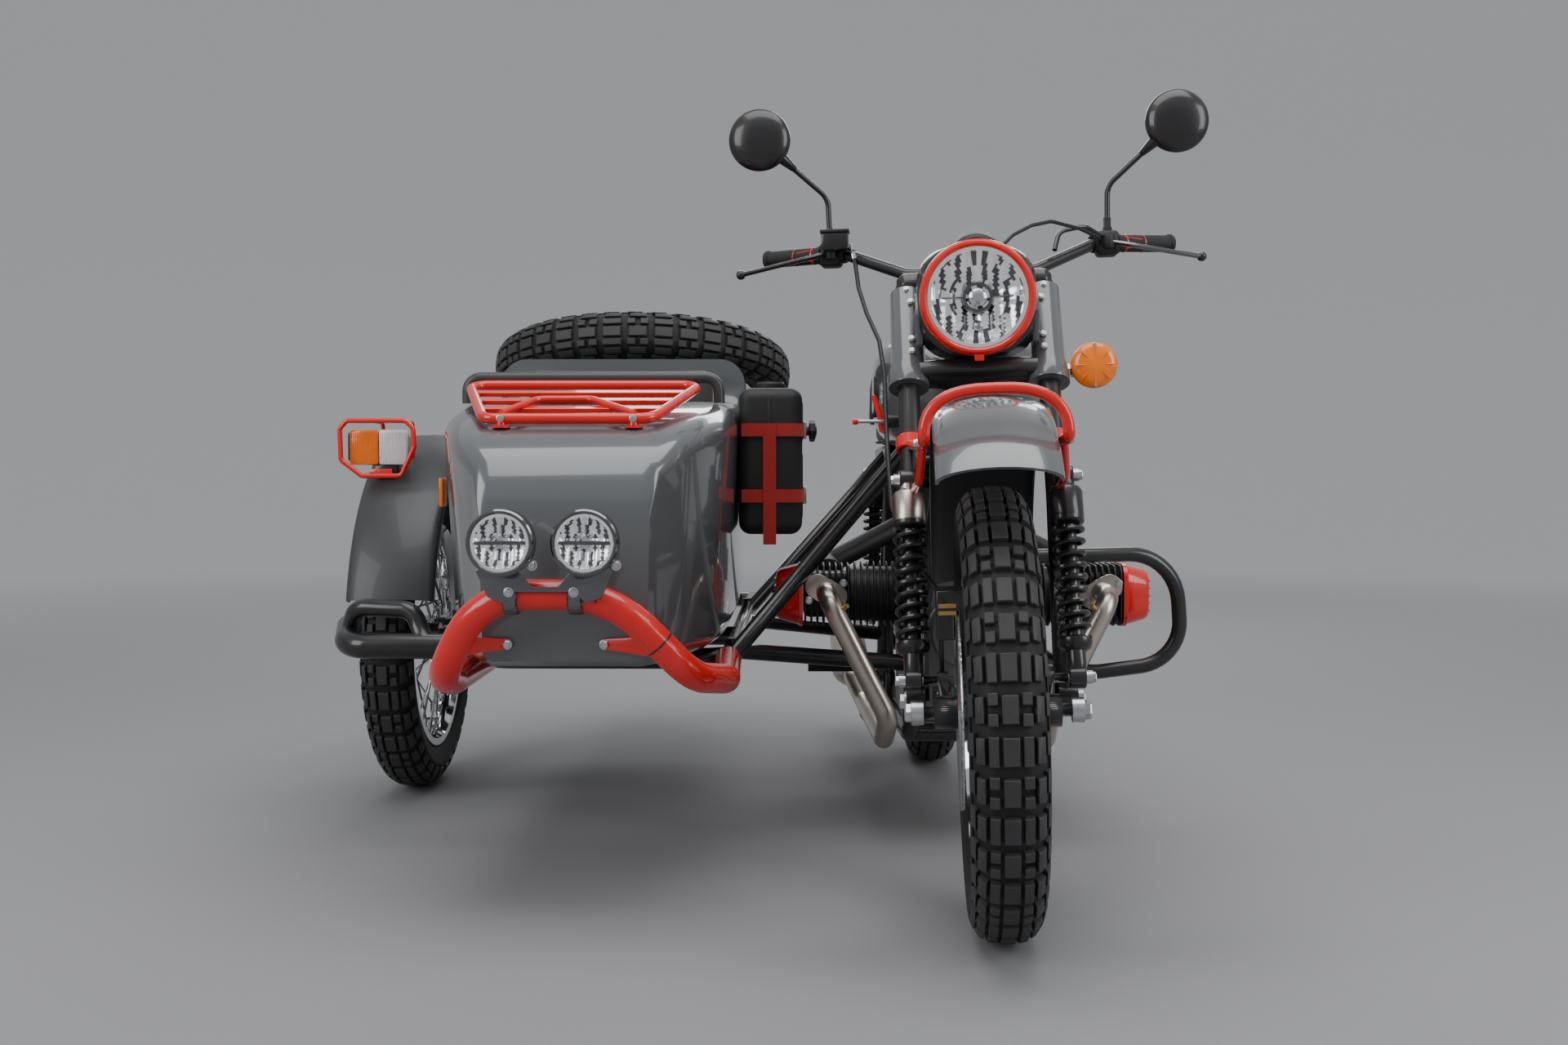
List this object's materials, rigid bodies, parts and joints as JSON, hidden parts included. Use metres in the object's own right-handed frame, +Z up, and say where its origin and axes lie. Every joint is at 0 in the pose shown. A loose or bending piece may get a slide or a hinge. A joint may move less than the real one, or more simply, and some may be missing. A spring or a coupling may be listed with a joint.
{
  "type": "sidecar motorcycle",
  "caption": "Motorcycle with a flat twin engine, leading link fork and a sidecar whose trunk lid carries a spare wheel; wheels roll, bars steer, lid opens.",
  "frame": {"origin": "middle of the underside of the bounding box, on the ground", "axes": "+Z up, the vehicle faces -Y, +X is the motorcycle's left and the sidecar is at -X"},
  "size_m": [1.6887, 2.2278, 1.3871],
  "materials": {
    "painted_grey": "gloss mid grey",
    "painted_dark_grey": "satin dark grey",
    "painted_red": "gloss signal red",
    "red_strap": "webbing",
    "black_metal": "black",
    "engine_metal": "cast",
    "steel": "polished",
    "chrome": "bright",
    "rubber": "matte",
    "seat_cover": "satin",
    "lens": "clear",
    "amber": "gloss",
    "red_lamp": "gloss"
  },
  "bodies": {
    "vehicle": {"main_frame": "black_metal", "engine_case": "engine_metal", "engine_cylinders": "engine_metal", "rocker_covers": "painted_red", "intake": "black_metal", "exhaust_system": "steel", "crash_bar": "black_metal", "fuel_tank": "painted_grey", "rider_saddle": "seat_cover", "rear_fender": "painted_grey", "tail_lamp": "red_lamp", "rear_swing_arm": "black_metal", "rear_shocks": "black_metal", "foot_controls": "black_metal", "side_covers": "black_metal", "sidecar_frame": "black_metal", "sidecar_swing_arm": "black_metal", "sidecar_shock": "black_metal", "sidecar_tub": "painted_grey", "sidecar_seat": "seat_cover", "nose_rack": "painted_red", "grab_rail": "painted_dark_grey", "nose_bumper": "painted_red", "fog_lamps": "chrome", "sidecar_fender": "painted_dark_grey", "fender_lamp": "amber", "fender_lamp_guard": "painted_red", "step_guard": "black_metal", "jerry_can": "black_metal", "jerry_can_straps": "red_strap"},
    "steering": {"fork": "black_metal", "front_swing_arm": "black_metal", "front_shocks": "black_metal", "front_fender": "painted_grey", "front_fender_guard": "painted_red", "fork_shrouds": "painted_grey", "headlamp_shell": "black_metal", "headlamp_rim": "painted_red", "headlamp_lens": "lens", "handlebar": "black_metal", "hand_controls": "black_metal", "mirrors": "black_metal", "brake_caliper": "engine_metal", "turn_signal": "amber"},
    "front_wheel": {"front_tyre": "rubber", "front_wheel": "chrome"},
    "rear_wheel": {"rear_tyre": "rubber", "rear_wheel": "chrome"},
    "sidecar_wheel": {"sidecar_tyre": "rubber", "sidecar_wheel": "chrome"},
    "trunk": {"trunk_lid": "painted_grey", "spare_carrier": "black_metal", "spare_tyre": "rubber", "spare_wheel": "chrome"}
  },
  "joints": [
    {"name": "steering", "type": "hinge", "parent": "vehicle", "child": "steering", "pos_m": [0.40464, -0.36286, 0.92526], "axis": [0, 0.454, 0.891], "range_deg": [-31, 39]},
    {"name": "front_wheel_spin", "type": "hinge", "parent": "steering", "child": "front_wheel", "pos_m": [0.3976, -0.77395, 0.34015], "axis": [0.9976, -0.0622, 0.0317], "continuous": true},
    {"name": "rear_wheel_spin", "type": "hinge", "parent": "vehicle", "child": "rear_wheel", "pos_m": [0.40464, 0.69583, 0.34026], "axis": [1, 0, 0], "continuous": true},
    {"name": "sidecar_wheel_spin", "type": "hinge", "parent": "vehicle", "child": "sidecar_wheel", "pos_m": [-0.74536, 0.37583, 0.34026], "axis": [1, 0, 0], "continuous": true},
    {"name": "trunk_lid_hinge", "type": "hinge", "parent": "vehicle", "child": "trunk", "pos_m": [-0.26736, 0.21521, 0.87242], "axis": [1, 0, 0], "range_deg": [0, 55]}
  ]
}
